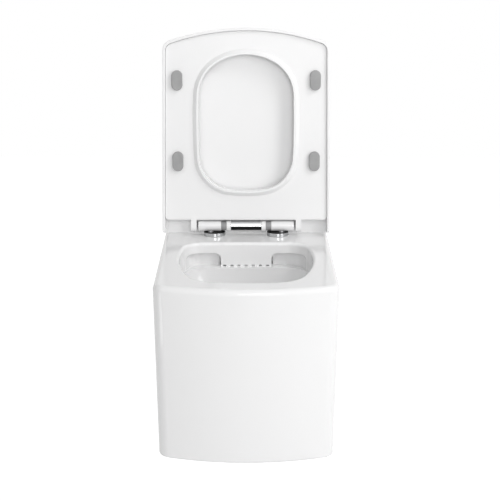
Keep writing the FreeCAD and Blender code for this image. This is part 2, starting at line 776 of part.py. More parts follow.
def hinge_stand(name, side):
    """Gasket, chrome base, post, rubber plug and nut of one side."""
    gasket = new_body(f"base_gasket_{name}")
    base = new_body(f"hinge_base_{name}")
    offset = f"{side} * (base_spacing - post_spacing) / 2"
    ring = sketch_on(gasket, "XY_Plane")
    circle(ring, "base_radius - gasket_inset", (offset, "0"))
    circle(ring, "plug_radius + run_gap")
    pad(gasket, ring, "gasket_wall")
    disc = sketch_on(base, "XY_Plane", "gasket_wall")
    circle(disc, "base_radius", (offset, "0"))
    circle(disc, "bolt_radius + fit_gap")
    pad(base, disc, "base_height - gasket_wall")
    at_top = level_edge(number("base_height"))
    radius = number("base_radius")
    round_edges(base, "base_round", lambda edge: at_top(edge) and edge.BoundBox.XLength > radius)

    post = new_body(f"hinge_post_{name}")
    post_top = "hinge_height + post_reach"
    flange_top = "base_height + flange_height"
    turn(post, [("0", "-bolt_length"), ("bolt_radius", "-bolt_length"), ("bolt_radius", "base_height"),
                ("post_flange", "base_height"), ("post_flange", flange_top), ("post_radius", flange_top),
                ("post_radius", f"{post_top} - post_chamfer"), ("post_radius - post_chamfer", post_top),
                ("0", post_top)], "V_Axis")
    keyhole = sketch_on(post, "YZ_Plane", f"{side} * post_radius * -1.5")
    circle(keyhole, "rod_radius + run_gap", ("0", "hinge_height"))
    pocket(post, keyhole, "1.5 * post_radius", back=side < 0)

    plug = new_body(f"expansion_plug_{name}")
    bulge = "plug_radius + plug_bulge"
    turn(plug, [("bolt_radius + fit_gap", "-plug_length"), ("plug_radius", "-plug_length"),
                (bulge, "-plug_length + plug_taper"), (bulge, "-deck_wall - bulge_gap - plug_bulge"),
                ("plug_radius", "-deck_wall - bulge_gap"), ("plug_radius", "0"),
                ("bolt_radius + fit_gap", "0")], "V_Axis")
    nut = new_body(f"plug_nut_{name}")
    square = sketch_on(nut, "XY_Plane", "-bolt_length")
    half = "plug_radius / sqrt(2)"
    rectangle(square, f"-{half}", half, f"-{half}", half)
    circle(square, "bolt_radius + fit_gap")
    pad(nut, square, "bolt_length - plug_length")
    for body in (gasket, base, post, plug, nut):
        bind(body, Placement__Base__x=f"{side} * post_spacing / 2", Placement__Base__y="-hinge_setback",
             Placement__Base__z="rim_level")
        keep(body)


def hinge_barrel(name, side):
    """White barrel on the post, bored from both ends for the dampers."""
    bore = "damper_radius + fit_gap"
    edge = "barrel_radius - barrel_chamfer"
    body = new_body(f"hinge_barrel_{name}")
    turn(body, [(f"{side} * ({x})", r) for x, r in (
        ("barrel_start", bore), ("barrel_start", edge), ("barrel_start + barrel_chamfer", "barrel_radius"),
        ("barrel_end - barrel_chamfer", "barrel_radius"), ("barrel_end", edge), ("barrel_end", bore),
        (SEAT_BORE_START, bore), (SEAT_BORE_START, "0"), (LID_BORE_END, "0"), (LID_BORE_END, bore))])
    socket = sketch_on(body, "XY_Plane", "-barrel_radius - cut_margin")
    circle(socket, "post_radius + fit_gap", (f"{side} * post_spacing / 2", "0"))
    pocket(body, socket, "barrel_radius + cut_margin + post_reach + fit_gap")
    passage = sketch_on(body, "YZ_Plane", f"{side} * ({LID_BORE_END} - 1)")
    circle(passage, "rod_radius + run_gap")
    pocket(body, passage, "post_radius + 1", back=side < 0)
    on_hinge(body, raised=False)


def dampers(name, side):
    """Damper bodies held in the barrel, and the rotors that turn in them with the lid and the seat."""
    space = "drum_radius + run_gap"
    neck = "shaft_radius + run_gap"
    passage = "rod_radius + run_gap"
    lid_space_start, lid_space_end = "collar_start + damper_wall", f"{LID_BORE_END} - damper_wall"
    seat_face = "barrel_end - damper_inset"
    seat_space_start, seat_space_end = f"{SEAT_BORE_START} + damper_wall", f"{seat_face} - damper_wall"
    lid_damper = new_body(f"lid_damper_{name}")
    turn(lid_damper, [(f"{side} * ({x})", r) for x, r in (
        ("collar_start", neck), ("collar_start", "collar_radius"),
        ("barrel_start - run_gap", "collar_radius"),
        ("barrel_start - run_gap", "damper_radius"), (f"{LID_BORE_END} - fit_gap", "damper_radius"),
        (f"{LID_BORE_END} - fit_gap", passage), (lid_space_end, passage), (lid_space_end, space),
        (lid_space_start, space), (lid_space_start, neck))])
    on_hinge(lid_damper, raised=False)

    seat_damper = new_body(f"seat_damper_{name}")
    turn(seat_damper, [(f"{side} * ({x})", r) for x, r in (
        (f"{SEAT_BORE_START} + fit_gap", "0"), (f"{SEAT_BORE_START} + fit_gap", "damper_radius"),
        (seat_face, "damper_radius"), (seat_face, neck), (seat_space_end, neck),
        (seat_space_end, space), (seat_space_start, space), (seat_space_start, "0"))])
    on_hinge(seat_damper, raised=False)

    for label, drum_start, drum_end, shaft_end in (
            ("lid_rotor", f"{lid_space_end} - run_gap", f"{lid_space_start} + run_gap",
             "release_half - shaft_grip"),
            ("seat_rotor", f"{seat_space_start} + run_gap", f"{seat_space_end} - run_gap",
             "lug_gap / 2 + seat_lug - lug_floor")):
        rotor = new_body(f"{label}_{name}")
        low, high = sorted((drum_start, drum_end), key=number)
        turn(rotor, [(f"{side} * ({x})", r) for x, r in (
            (low, "0"), (high, "0"), (high, "drum_radius"), (low, "drum_radius"))])
        start, end = sorted((drum_end, shaft_end), key=number)
        shaft = sketch_on(rotor, "YZ_Plane", f"{side} * ({start})")
        double_flat(shaft)
        pad(rotor, shaft, f"({end}) - ({start})", back=side < 0)
        if label == "lid_rotor":
            channel = sketch_on(rotor, "YZ_Plane", f"{side} * ({start} - 1)")
            circle(channel, "rod_radius + fit_gap")
            pocket(rotor, channel, f"({drum_start}) - ({start}) + 2", back=side < 0)
        on_hinge(rotor)


# Seat

def lid_outline(sketch, inset, tail):
    """The lid's plan, drawn in by an inset and cut off at a tail; the seat follows it."""
    taper = f"side_taper * (lid_tail - ({tail})) / (lid_tail + {LID_REACH} - front_bow)"
    tray(sketch, f"{LID_WIDTH} / 2 - {taper} - {inset}", f"{LID_FRONT} / 2 - {inset}", tail,
         f"-{LID_REACH} + front_bow + {inset}", "front_bow")


def seat_hole(sketch, grow):
    radii = [f"{HOLE_WIDTH} * {share} + {grow}" for share in HOLE_ROUNDING]
    basin(sketch, f"{HOLE_WIDTH} / 2 + {grow}", f"-(hole_setback + {HOLE_FRONT}) / 2",
          f"-hole_setback + {grow}", f"-{HOLE_FRONT} - {grow}", *radii)


def tail_roll(body):
    """Rounds the underside of the seat's back edge, from side to side."""
    cut = sketch_on(body, "YZ_Plane", f"-{LID_WIDTH} / 2")
    start, level = "(-seat_setback - seat_tail_roll)", f"({SEAT_FLOOR} + seat_tail_roll)"
    beyond, below = "(cut_margin - seat_setback)", f"({SEAT_FLOOR} - cut_margin)"
    middle, radius = Vector(number(start), number(level), 0), number("seat_tail_roll")
    lowest, rearmost = middle - Vector(0, radius, 0), middle + Vector(radius, 0, 0)
    corners = [rearmost, Vector(number(beyond), number(level), 0), Vector(number(beyond), number(below), 0),
               Vector(number(start), number(below), 0), lowest]
    cut.addGeometry(arc_between(middle, radius, lowest, rearmost))
    for corner, following in zip(corners, corners[1:]):
        cut.addGeometry(Part.LineSegment(corner, following))
    for edge in range(5):
        cut.addConstraint(Sketcher.Constraint("Coincident", edge, 2, (edge + 1) % 5, 1))
    cut.addConstraint(Sketcher.Constraint("Horizontal", 1))
    cut.addConstraint(Sketcher.Constraint("Vertical", 4))
    datum(cut, "Radius", (0,), "seat_tail_roll")
    for edge, end, place in ((0, 3, (start, level)), (1, 2, (beyond, level)),
                             (2, 2, (beyond, below)), (3, 2, (start, below))):
        pin_point(cut, edge, end, place)
    pocket(body, cut, LID_WIDTH)


def hinge_arm(sketch, radius, reach, top):
    """Side view of a seat's lug: round about the hinge axis, with a straight foot, up to the seat."""
    round_part = number(radius)
    low, high = Vector(0, -round_part, 0), Vector(0, round_part, 0)
    near_top, near_foot = Vector(-number(reach), number(top), 0), Vector(-number(reach), -round_part, 0)
    sketch.addGeometry(arc_between(Vector(), round_part, low, high))
    for begin, finish in ((high, near_top), (near_top, near_foot), (near_foot, low)):
        sketch.addGeometry(Part.LineSegment(begin, finish))
    for edge in range(4):
        sketch.addConstraint(Sketcher.Constraint("Coincident", edge, 2, (edge + 1) % 4, 1))
    pin_point(sketch, 0, 3, (0, 0))
    datum(sketch, "Radius", (0,), radius)
    for end in (1, 2):
        sketch.addConstraint(Sketcher.Constraint("PointOnObject", 0, end, -2))
    pin_point(sketch, 1, 2, (f"-{reach}", top))
    pin_point(sketch, 2, 2, (f"-{reach}", f"-({radius})"))


def seat():
    body = new_body("seat")
    plan = sketch_on(body, "XY_Plane", SEAT_FLOOR)
    lid_outline(plan, SEAT_INSET, "-seat_setback")
    pad(body, plan, "seat_thickness")
    round_edges(body, f"lid_corner - {SEAT_INSET}", upright_edge(-ANYWHERE, number(f"-{LID_REACH} / 2")))
    round_edges(body, "seat_tail_round", upright_edge(number("-hole_setback"), ANYWHERE))
    round_edges(body, "seat_under_round", level_edge(number(SEAT_FLOOR)))
    round_edges(body, "seat_top_round", level_edge(number(SEAT_TOP)))
    tail_roll(body)
    bead = sketch_on(body, "XY_Plane", SEAT_FLOOR)
    seat_hole(bead, "bead_width")
    raised = pad(body, bead, "bead_height", back=True)
    bind(raised, TaperAngle="-bead_slope")
    hole = sketch_on(body, "XY_Plane", f"{SEAT_FLOOR} - 2 * bead_height")
    seat_hole(hole, "0")
    pocket(body, hole, "seat_thickness + 3 * bead_height")
    for side in SIDES.values():
        lug = sketch_on(body, "YZ_Plane", f"{side} * lug_gap / 2")
        hinge_arm(lug, f"-{SEAT_FLOOR}", "(seat_setback + lug_root)", SEAT_TOP)
        pad(body, lug, "seat_lug", back=side < 0)
        socket = sketch_on(body, "YZ_Plane", f"{side} * (lug_gap / 2 - 1)")
        double_flat(socket, "fit_gap")
        pocket(body, socket, "seat_lug", back=side < 0)
    on_hinge(body)


def seat_buffers():
    across = f"({LID_WIDTH} / 2 - pad_margin)"
    for row, reach in (("rear", "pad_near"), ("front", f"({LID_REACH} - pad_front)")):
        for name, side in SIDES.items():
            body = new_body(f"seat_buffer_{row}_{name}")
            plan = sketch_on(body, "XY_Plane", SEAT_FLOOR)
            stadium(plan, "pad_width / 2", "pad_length / 2", (f"{side} * {across}", f"-{reach}"))
            pad(body, plan, "seat_lift - 2 * run_gap", back=True)
            round_edges(body, "pad_round", level_edge(number("-hinge_height + 2 * run_gap")))
            on_hinge(body)


# Lid

def lid():
    body = new_body("lid")
    plan = sketch_on(body, "XY_Plane", LID_SKIRT_FOOT)
    lid_outline(plan, "0", "lid_tail")
    pad(body, plan, f"{LID_FACE} + lid_wall - {LID_SKIRT_FOOT}")
    in_front_half = upright_edge(-ANYWHERE, number(f"-{LID_REACH} / 2"))
    round_edges(body, "lid_corner", in_front_half)
    round_edges(body, "lid_round", level_edge(number(f"{LID_FACE} + lid_wall")))
    inside = sketch_on(body, "XY_Plane", f"{LID_SKIRT_FOOT} - cut_margin")
    lid_outline(inside, "lid_wall", "lid_tail + cut_margin")
    pocket(body, inside, f"{LID_FACE} - {LID_SKIRT_FOOT} + cut_margin")
    inner_half = number(f"{LID_FRONT} / 2 - lid_wall + run_gap")

    def inner_corner(edge):
        straight = edge.Curve.TypeId == "Part::GeomLine"
        return straight and in_front_half(edge) and abs(edge.CenterOfMass.x) < inner_half

    round_edges(body, "lid_corner - lid_wall", inner_corner)
    at_foot, wall = level_edge(number(LID_SKIRT_FOOT)), number("lid_wall")
    round_edges(body, "lip_round", lambda edge: at_foot(edge) and edge.Length > wall + NEAR)
    slope = sketch_on(body, "YZ_Plane", f"-{LID_WIDTH} / 2 - cut_margin")
    beyond, below = "lid_tail + cut_margin", f"{LID_SKIRT_FOOT} - cut_margin"
    polygon(slope, [("skirt_tail", below), ("skirt_tail", LID_SKIRT_FOOT), ("lid_tail", LID_FACE),
                    (beyond, LID_FACE), (beyond, below)])
    pocket(body, slope, f"{LID_WIDTH} + 2 * cut_margin")
    for side in SIDES.values():
        relief = sketch_on(body, "XY_Plane", f"{LID_FACE} - cut_margin")
        rectangle(relief, *(f"{side} * (base_spacing / 2 + {way} * (base_radius + relief_margin))"
                            for way in (-side, side)), "relief_tail", "lid_tail + cut_margin")
        pocket(body, relief, "lid_wall + 2 * cut_margin")
        start = f"{side} * lid_lug_start"
        lug = sketch_on(body, "YZ_Plane", start)
        root = f"{LID_FACE} + lid_wall / 2"
        ends = [Vector(number("-lug_radius"), number(root), 0), Vector(number("-lug_radius"), 0, 0),
                Vector(number("lug_radius"), 0, 0), Vector(number("lug_radius"), number(root), 0)]
        lug.addGeometry(Part.LineSegment(ends[0], ends[1]))
        lug.addGeometry(arc_between(Vector(), number("lug_radius"), ends[1], ends[2]))
        lug.addGeometry(Part.LineSegment(ends[2], ends[3]))
        lug.addGeometry(Part.LineSegment(ends[3], ends[0]))
        for edge, following in ((0, 1), (1, 2)):
            lug.addConstraint(Sketcher.Constraint("Tangent", edge, 2, following, 1))
        for edge, following in ((2, 3), (3, 0)):
            lug.addConstraint(Sketcher.Constraint("Coincident", edge, 2, following, 1))
        lug.addConstraint(Sketcher.Constraint("Vertical", 0))
        lug.addConstraint(Sketcher.Constraint("Vertical", 2))
        lug.addConstraint(Sketcher.Constraint("Horizontal", 3))
        pin_point(lug, 1, 3, (0, 0))
        datum(lug, "Radius", (1,), "lug_radius")
        datum(lug, "DistanceY", (3, 1), root)
        pad(body, lug, "lid_lug", back=side < 0)
        socket = sketch_on(body, "YZ_Plane", f"{side} * (lid_lug_start - cut_margin)")
        double_flat(socket, "fit_gap")
        pocket(body, socket, "lid_lug + 2 * cut_margin", back=side < 0)
    on_hinge(body)


def lid_buffers():
    across = f"({LID_WIDTH} / 2 - stop_margin)"
    for row, reach in (("rear", "stop_near"), ("front", f"({LID_REACH} - stop_front)")):
        for name, side in SIDES.items():
            body = new_body(f"lid_buffer_{row}_{name}")
            plan = sketch_on(body, "XY_Plane", LID_FACE)
            circle(plan, "stop_radius", (f"{side} * {across}", f"-{reach}"))
            pad(body, plan, f"{LID_FACE} - {SEAT_TOP} - run_gap", back=True)
            round_edges(body, "stop_round", level_edge(number(f"{SEAT_TOP} + run_gap")))
            on_hinge(body)


# Release unit, carried by the rotor shafts between the lid's lugs

def release_housing():
    """Core whose front is drawn in by the button's travel, with a well for the rods' heads."""
    body = new_body("release_housing")
    section = sketch_on(body, "YZ_Plane", "-release_half")
    radius, travel = number("core_radius"), number("button_travel")
    reach = math.sqrt(radius ** 2 - travel ** 2 / 4)
    low, high = Vector(travel / 2, -reach, 0), Vector(travel / 2, reach, 0)
    section.addGeometry(arc_between(Vector(), radius, low, high))
    section.addGeometry(arc_between(Vector(travel, 0, 0), radius, high, low))
    section.addConstraint(Sketcher.Constraint("Coincident", 0, 2, 1, 1))
    section.addConstraint(Sketcher.Constraint("Coincident", 1, 2, 0, 1))
    for arc, centre in ((0, "0"), (1, "button_travel")):
        pin_point(section, arc, 3, (centre, "0"))
        datum(section, "Radius", (arc,), "core_radius")
    pad(body, section, "2 * release_half")
    well = sketch_on(body, "XZ_Plane", "core_radius")
    well_half, well_height = f"({RAMP} + well_margin)", "(head_half + 2 * run_gap)"
    rectangle(well, f"-{well_half}", well_half, f"-{well_height}", well_height)
    pocket(body, well, "core_radius + well_floor", back=True)
    for side in SIDES.values():
        passage = sketch_on(body, "YZ_Plane", f"{side} * {RAMP}")
        circle(passage, "rod_radius + run_gap")
        pocket(body, passage, "release_half", back=side < 0)
        socket = sketch_on(body, "YZ_Plane", f"{side} * (release_half - shaft_grip - run_gap)")
        double_flat(socket, "fit_gap")
        pocket(body, socket, "shaft_grip + cut_margin", back=side < 0)
    on_hinge(body)


def release_button():
    """Half-round cap over the core, with forked legs whose slanted ends meet the rods' heads."""
    body = new_body("release_button")
    section = sketch_on(body, "YZ_Plane", "-release_half")
    inner, outer = number("core_radius + run_gap"), number("button_radius")
    section.addGeometry(arc_between(Vector(), outer, Vector(0, outer, 0), Vector(0, -outer, 0)))
    section.addGeometry(Part.LineSegment(Vector(0, -outer, 0), Vector(0, -inner, 0)))
    section.addGeometry(arc_between(Vector(), inner, Vector(0, inner, 0), Vector(0, -inner, 0)))
    section.addGeometry(Part.LineSegment(Vector(0, inner, 0), Vector(0, outer, 0)))
    for first, end, second, begin in ((0, 2, 1, 1), (1, 2, 2, 2), (2, 1, 3, 1), (3, 2, 0, 1)):
        section.addConstraint(Sketcher.Constraint("Coincident", first, end, second, begin))
    for arc, radius in ((0, "button_radius"), (2, "core_radius + run_gap")):
        pin_point(section, arc, 3, (0, 0))
        datum(section, "Radius", (arc,), radius)
    for line in (1, 3):
        section.addConstraint(Sketcher.Constraint("PointOnObject", line, 1, -2))
        section.addConstraint(Sketcher.Constraint("PointOnObject", line, 2, -2))
    pad(body, section, "2 * release_half")
    leg_half = "(head_half + run_gap)"
    near = "(head_start + leg_start)"
    far = f"({near} + leg_width)"
    root = "-core_radius - 2 * run_gap"
    slot_front = "-(rod_radius + 2 * run_gap + button_travel)"
    for side in SIDES.values():
        legs = sketch_on(body, "XY_Plane", f"-{leg_half}")
        polygon(legs, [(f"{side} * {near}", root), (f"{side} * {far}", root),
                       (f"{side} * {far}", f"{far} - {RAMP} - run_gap"),
                       (f"{side} * {near}", f"{near} - {RAMP} - run_gap")])
        pad(body, legs, f"2 * {leg_half}")
        fork = sketch_on(body, "XY_Plane", "-rod_radius - run_gap")
        rectangle(fork, f"{side} * ({near} - run_gap)", f"{side} * ({far} + run_gap)",
                  slot_front, "core_radius")
        pocket(body, fork, "2 * (rod_radius + run_gap)")
    on_hinge(body)


def latch_rod(name, side):
    """Rod that locks the barrel's post, with a slanted head in the housing."""
    body = new_body(f"latch_rod_{name}")
    head = sketch_on(body, "XY_Plane", "-head_half")
    polygon(head, [(f"{side} * ({x})", y) for x, y in (
        ("head_start", "-head_half"), (f"{RAMP} - head_half", "-head_half"),
        (f"{RAMP} + head_half", "head_half"), ("head_start", "head_half"))])
    pad(body, head, "2 * head_half")
    section = sketch_on(body, "YZ_Plane", f"{side} * {RAMP}")
    circle(section, "rod_radius")
    pad(body, section, f"post_spacing / 2 - tip_gap - {RAMP}", back=side < 0)
    on_hinge(body)


def latch_spring():
    """Wound spring between the two rod heads."""
    radius, wire = number("spring_radius"), number("wire_radius")
    turns = number("spring_turns")
    length = 2 * number("head_start") - 4 * wire
    pitch = length / turns
    coil = Part.Wire(Part.makeHelix(pitch, length, radius).Edges)
    slope = Vector(0, 2 * math.pi * radius, pitch)
    ring = Part.Wire(Part.makeCircle(wire, Vector(radius, 0, 0), slope))
    for curve in (coil, ring):
        curve.translate(Vector(0, 0, -length / 2))
        curve.rotate(Vector(), Vector(0, 1, 0), 90)
    solid = coil.makePipeShell([ring], True, True)
    steps = 40
    points = []
    for step in range(int(turns * steps) + 1):
        angle = 2 * math.pi * step / steps
        points.append(Vector(radius * math.cos(angle), radius * math.sin(angle), pitch * step / steps))
    least = min((points[k] - points[j]).Length for k in range(len(points)) for j in range(k - steps // 2))
    print(f"latch_spring least gap between turns {least - 2 * wire:.2f} mm")
    spring = document.addObject("Part::Feature", "latch_spring")
    spring.Shape = solid
    on_hinge(spring)


ceramic_pan()
for name, side in SIDES.items():
    wall_fixing(name, side)
    hinge_stand(name, side)
    hinge_barrel(name, side)
    dampers(name, side)
    latch_rod(name, side)
seat()
seat_buffers()
lid()
lid_buffers()
release_housing()
release_button()
latch_spring()
document.recompute()

# Every object must be sound before its solid is written
for thing in document.Objects:
    if "Invalid" in thing.State or "Error" in thing.State:
        raise RuntimeError(f"{thing.Label} of {thing.TypeId} did not build: {thing.State}")
os.makedirs("parts", exist_ok=True)
for piece in pieces:
    shape = piece.Shape
    if shape.isNull() or not shape.isValid() or not shape.Solids:
        raise RuntimeError(f"{piece.Label} has no sound solid")
    print(f"{piece.Label:28s} {len(shape.Solids)} solid, {shape.Volume / 1000:10.2f} cm3")
    shape.exportStep(os.path.join("parts", f"{piece.Label}.step"))
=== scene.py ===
import math

import bpy
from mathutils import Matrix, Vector


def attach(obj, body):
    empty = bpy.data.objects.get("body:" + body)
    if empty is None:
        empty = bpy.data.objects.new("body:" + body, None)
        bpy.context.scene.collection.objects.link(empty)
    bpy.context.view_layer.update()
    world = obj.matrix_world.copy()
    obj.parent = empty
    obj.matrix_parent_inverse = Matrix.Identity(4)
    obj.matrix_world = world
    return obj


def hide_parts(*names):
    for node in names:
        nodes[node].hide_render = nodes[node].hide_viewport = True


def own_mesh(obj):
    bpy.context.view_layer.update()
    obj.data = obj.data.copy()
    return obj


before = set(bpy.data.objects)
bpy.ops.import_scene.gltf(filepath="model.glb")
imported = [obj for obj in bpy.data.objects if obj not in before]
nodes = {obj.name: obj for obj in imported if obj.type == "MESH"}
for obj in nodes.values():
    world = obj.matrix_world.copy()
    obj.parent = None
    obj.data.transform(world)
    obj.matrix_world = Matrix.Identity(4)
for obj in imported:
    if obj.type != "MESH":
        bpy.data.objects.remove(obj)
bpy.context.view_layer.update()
scene = bpy.context.scene

# Camera, in metres, and its lens in millimetres
CAMERA_PLACE = (0.0, -2.3444, 0.6446)
CAMERA_DIP = math.radians(15.56)
CAMERA_SENSOR = 36.0
CAMERA_LENS = 77.06
CAMERA_SHIFT = (0.00774, 0.0305)

# Floor, in metres, and how much it glows where it is seen directly
FLOOR_LEVEL = -0.80
FLOOR_HALF = 6.0
FLOOR_GLOW = 0.55

# Light from all round: its bright side, how far that side reaches, and its strength behind and before
BRIGHT_SIDE = (0.55, -0.73, 0.42)
BRIGHT_REACH = (-0.7, 0.9)
AMBIENT_BEHIND = 0.36
AMBIENT_BEFORE = 0.70

# Studio lamps: name, place, aim, width, height and power in watts
LAMPS = (
    ("right_softbox", (1.95, -1.90, 0.70), (0.0, -0.2, 0.15), 1.0, 1.3, 12.6),
    ("front_softbox", (0.30, -2.95, 1.00), (0.0, -0.2, 0.15), 1.0, 1.0, 14.8),
    ("left_low_panel", (-1.70, -1.28, -0.60), (-0.15, -0.45, 0.0), 0.6, 0.4, 1.5),
    ("high_softbox", (1.6, -1.2, 2.0), (0.0, -0.25, 0.1), 0.9, 0.6, 15.8),
)

# Heights between which the hinge base turns from chrome to a painted black shade on its top, for the dark
# gap and reflection under the barrel
BASE_SHADE_HEIGHTS = (0.0872, 0.0878)

# Depths between which the pan turns from glaze to bare clay, and how rough the clay is
CLAY_BACK = (-0.0035, -0.0015)
CLAY_ROUGHNESS = 0.75

# Shared surface: noise levels where the tone and the gloss change over, and the sizes of smears and ripples
TONE_LEVELS = (0.36, 0.66)
GLOSS_LEVELS = (0.3, 0.7)
SMEARS_PER_PATCH = 3.3
RIPPLES_PER_GRAIN = 0.06

# Linear colours of the finishes
GLAZE_WHITE = (0.840, 0.839, 0.840)
GLAZE_SHADE = (0.833, 0.833, 0.835)
RAW_CLAY = (0.640, 0.600, 0.540)
SEAT_WHITE = (0.862, 0.861, 0.862)
SEAT_SHADE = (0.857, 0.857, 0.859)
BARREL_WHITE = (0.830, 0.830, 0.830)
BARREL_SHADE = (0.812, 0.812, 0.815)
BUFFER_GREY = (0.345, 0.345, 0.345)
BUFFER_SHADE = (0.315, 0.315, 0.318)
COLLAR_GREY = (0.300, 0.300, 0.305)
COLLAR_SHADE = (0.260, 0.260, 0.266)
GASKET_CLEAR = (0.560, 0.565, 0.560)
GASKET_SHADE = (0.500, 0.505, 0.500)
# Black of the release housing, also used as painted shade on the hinge base's top
BLACK_PLASTIC_AND_SHADE = (0.006, 0.006, 0.006)
RELEASE_SHADE = (0.009, 0.009, 0.009)
CHROME_PALE = (0.500, 0.505, 0.510)
CHROME_DEEP = (0.460, 0.466, 0.474)
BUTTON_PALE = (0.800, 0.805, 0.810)
BUTTON_DEEP = (0.770, 0.776, 0.784)
STEEL_PALE = (0.520, 0.520, 0.530)
STEEL_DEEP = (0.440, 0.445, 0.455)
PLUG_BLACK = (0.030, 0.030, 0.031)
PLUG_SHADE = (0.045, 0.045, 0.046)
FLOOR_PALE = (0.82, 0.82, 0.82)
FLOOR_SHADE = (0.80, 0.80, 0.80)


def link(tree, source, target):
    tree.links.new(source, target)


def new_node(tree, kind, **values):
    """Adds a shader node; values name its inputs, with underscores for spaces."""
    node = tree.nodes.new(kind)
    for name, value in values.items():
        node.inputs[name.replace("_", " ")].default_value = value
    return node


def maths(tree, operation, first, second):
    """Adds a math node fed by sockets or plain numbers."""
    node = tree.nodes.new("ShaderNodeMath")
    node.operation = operation
    for slot, value in enumerate((first, second)):
        if isinstance(value, (int, float)):
            node.inputs[slot].default_value = value
        else:
            link(tree, value, node.inputs[slot])
    return node.outputs[0]


def map_range(tree, value, levels, low, high):
    """Turns a value smoothly from low to high between two levels; low and high are sockets or numbers."""
    node = new_node(tree, "ShaderNodeMapRange", From_Min=levels[0], From_Max=levels[1])
    node.interpolation_type = "SMOOTHSTEP"
    link(tree, value, node.inputs["Value"])
    for name, limit in (("To Min", low), ("To Max", high)):
        if isinstance(limit, (int, float)):
            node.inputs[name].default_value = limit
        else:
            link(tree, limit, node.inputs[name])
    return node.outputs["Result"]


def mix_colours(tree, share, first, second):
    """Blends two colours, each a socket or a plain triple."""
    node = tree.nodes.new("ShaderNodeMix")
    node.data_type = "RGBA"
    link(tree, share, node.inputs["Factor"])
    for slot, colour in (("A", first), ("B", second)):
        socket = next(one for one in node.inputs if one.name == slot and one.type == "RGBA")
        if isinstance(colour, tuple):
            socket.default_value = (*colour, 1.0)
        else:
            link(tree, colour, socket)
    return next(one for one in node.outputs if one.type == "RGBA")


def surface_group():
    """Shared finish: tone that drifts in patches, uneven gloss and a fine relief."""
    group = bpy.data.node_groups.new("worked_surface", "ShaderNodeTree")
    sockets = (("Pale", "NodeSocketColor", "INPUT"), ("Deep", "NodeSocketColor", "INPUT"),
               ("Patch Scale", "NodeSocketFloat", "INPUT"), ("Smooth", "NodeSocketFloat", "INPUT"),
               ("Rough", "NodeSocketFloat", "INPUT"), ("Grain Scale", "NodeSocketFloat", "INPUT"),
               ("Grain Share", "NodeSocketFloat", "INPUT"), ("Stretch", "NodeSocketVector", "INPUT"),
               ("Colour", "NodeSocketColor", "OUTPUT"), ("Roughness", "NodeSocketFloat", "OUTPUT"),
               ("Height", "NodeSocketFloat", "OUTPUT"))
    for name, kind, way in sockets:
        group.interface.new_socket(name, in_out=way, socket_type=kind)
    given = group.nodes.new("NodeGroupInput").outputs
    result = group.nodes.new("NodeGroupOutput").inputs
    place = group.nodes.new("ShaderNodeTexCoord").outputs["Object"]
    stretched = group.nodes.new("ShaderNodeVectorMath")
    stretched.operation = "MULTIPLY"
    link(group, place, stretched.inputs[0])
    link(group, given["Stretch"], stretched.inputs[1])

    def noise(scale, detail):
        cloud = new_node(group, "ShaderNodeTexNoise", Detail=detail)
        link(group, stretched.outputs[0], cloud.inputs["Vector"])
        link(group, scale, cloud.inputs["Scale"])
        return cloud.outputs[0]

    patches = noise(given["Patch Scale"], detail=4.0)
    tone = map_range(group, patches, TONE_LEVELS, 0.0, 1.0)
    link(group, mix_colours(group, tone, given["Pale"], given["Deep"]), result["Colour"])
    smears = noise(maths(group, "MULTIPLY", given["Patch Scale"], SMEARS_PER_PATCH), detail=3.0)
    gloss = map_range(group, smears, GLOSS_LEVELS, given["Smooth"], given["Rough"])
    link(group, gloss, result["Roughness"])
    grain = noise(given["Grain Scale"], detail=2.0)
    ripple = noise(maths(group, "MULTIPLY", given["Grain Scale"], RIPPLES_PER_GRAIN), detail=1.0)
    fine = maths(group, "MULTIPLY", grain, given["Grain Share"])
    broad_share = maths(group, "SUBTRACT", 1.0, given["Grain Share"])
    broad = maths(group, "MULTIPLY", ripple, broad_share)
    link(group, maths(group, "ADD", fine, broad), result["Height"])
    return group


SURFACE = surface_group()


def finish(name, pale, deep, patch, gloss, grain, share, bump, stretch=(1.0, 1.0, 1.0), **shader_values):
    """A material on the shared surface; bump is its strength and depth in metres."""
    material = bpy.data.materials.new(name)
    material.use_nodes = True
    tree = material.node_tree
    shader = tree.nodes["Principled BSDF"]
    surface = tree.nodes.new("ShaderNodeGroup")
    surface.node_tree = SURFACE
    for socket, value in (("Pale", (*pale, 1.0)), ("Deep", (*deep, 1.0)), ("Stretch", stretch),
                          ("Patch Scale", patch), ("Smooth", gloss[0]), ("Rough", gloss[1]),
                          ("Grain Scale", grain), ("Grain Share", share)):
        surface.inputs[socket].default_value = value
    relief = new_node(tree, "ShaderNodeBump", Strength=bump[0], Distance=bump[1])
    link(tree, surface.outputs["Height"], relief.inputs["Height"])
    link(tree, surface.outputs["Colour"], shader.inputs["Base Color"])
    link(tree, surface.outputs["Roughness"], shader.inputs["Roughness"])
    link(tree, relief.outputs["Normal"], shader.inputs["Normal"])
    for socket, value in shader_values.items():
        shader.inputs[socket.replace("_", " ")].default_value = value
    return material


def finish_parts(material):
    """A finish's node tree, shader inputs and shared surface outputs, and the place on the piece."""
    tree = material.node_tree
    surface = next(node for node in tree.nodes if node.type == "GROUP")
    place = tree.nodes.new("ShaderNodeSeparateXYZ")
    link(tree, tree.nodes.new("ShaderNodeTexCoord").outputs["Object"], place.inputs[0])
    return tree, tree.nodes["Principled BSDF"].inputs, surface.outputs, place.outputs


def glazed_ceramic():
    """White glaze, with bare clay on the flat back of the pan."""
    material = finish("glazed_ceramic", GLAZE_WHITE, GLAZE_SHADE, patch=5.0, gloss=(0.04, 0.07),
                      grain=160.0, share=0.1, bump=(0.05, 0.0004), IOR=1.52)
    tree, shader, surface, place = finish_parts(material)
    bare = map_range(tree, place["Y"], CLAY_BACK, 0.0, 1.0)
    link(tree, mix_colours(tree, bare, surface["Colour"], RAW_CLAY), shader["Base Color"])
    clay = maths(tree, "MULTIPLY", bare, CLAY_ROUGHNESS)
    link(tree, maths(tree, "MAXIMUM", surface["Roughness"], clay), shader["Roughness"])
    return material


